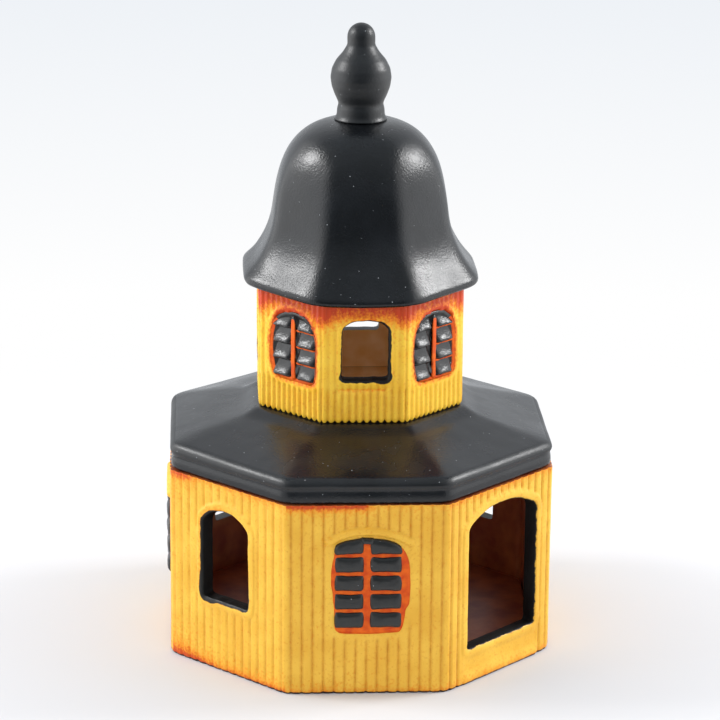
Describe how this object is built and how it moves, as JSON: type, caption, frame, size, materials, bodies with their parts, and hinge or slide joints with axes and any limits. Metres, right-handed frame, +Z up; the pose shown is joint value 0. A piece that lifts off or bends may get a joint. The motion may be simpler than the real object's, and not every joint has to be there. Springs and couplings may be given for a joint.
{
  "type": "candle holder",
  "caption": "Glazed ceramic tealight holder shaped like an octagonal gazebo, with a doorway for the candle, open windows that let its light out and a bell-shaped roof that lifts off.",
  "frame": {"origin": "centre of the foot, on the surface that the holder stands on", "axes": "+Z up through the finial, -Y out of the doorway"},
  "size_m": [0.1532, 0.1533, 0.2499],
  "materials": {
    "yellow_glaze": "satin hand-brushed glaze with burnt orange edges",
    "orange_glaze": "brushed red-orange glaze",
    "black_glaze": "semi-gloss black glaze",
    "pane_glaze": "satin charcoal glaze",
    "brown_glaze": "glossy transparent brown glaze",
    "cup_aluminium": "drawn foil",
    "candle_wax": "waxy",
    "wick_cotton": "braided",
    "wick_tab_tinplate": "stamped"
  },
  "bodies": {
    "body": {"lower_storey": "yellow_glaze", "floor_plate": "brown_glaze", "skirt_roof": "black_glaze", "lantern_storey": "yellow_glaze", "lower_panes_front_right": "pane_glaze", "lower_panes_back_right": "pane_glaze", "lower_panes_back_left": "pane_glaze", "lower_panes_front_left": "pane_glaze", "lantern_panes_front": "pane_glaze", "lantern_panes_right": "pane_glaze", "lantern_panes_back": "pane_glaze", "lantern_panes_left": "pane_glaze", "lower_sash_front_right": "orange_glaze", "lower_sash_back_right": "orange_glaze", "lower_sash_back_left": "orange_glaze", "lower_sash_front_left": "orange_glaze", "lantern_sash_front": "orange_glaze", "lantern_sash_right": "orange_glaze", "lantern_sash_back": "orange_glaze", "lantern_sash_left": "orange_glaze"},
    "roof": {"bell_roof": "black_glaze", "finial": "black_glaze"},
    "tealight": {"tealight_cup": "cup_aluminium", "tealight_wax": "candle_wax", "tealight_wick": "wick_cotton", "wick_tab": "wick_tab_tinplate"}
  },
  "joints": [
    {"name": "roof_lift", "type": "slide", "parent": "body", "child": "roof", "axis": [0, 0, 1], "range_m": [0, 0.09]},
    {"name": "tealight_out", "type": "slide", "parent": "body", "child": "tealight", "axis": [0, -0.9848, 0.1736], "range_m": [0, 0.115]}
  ]
}
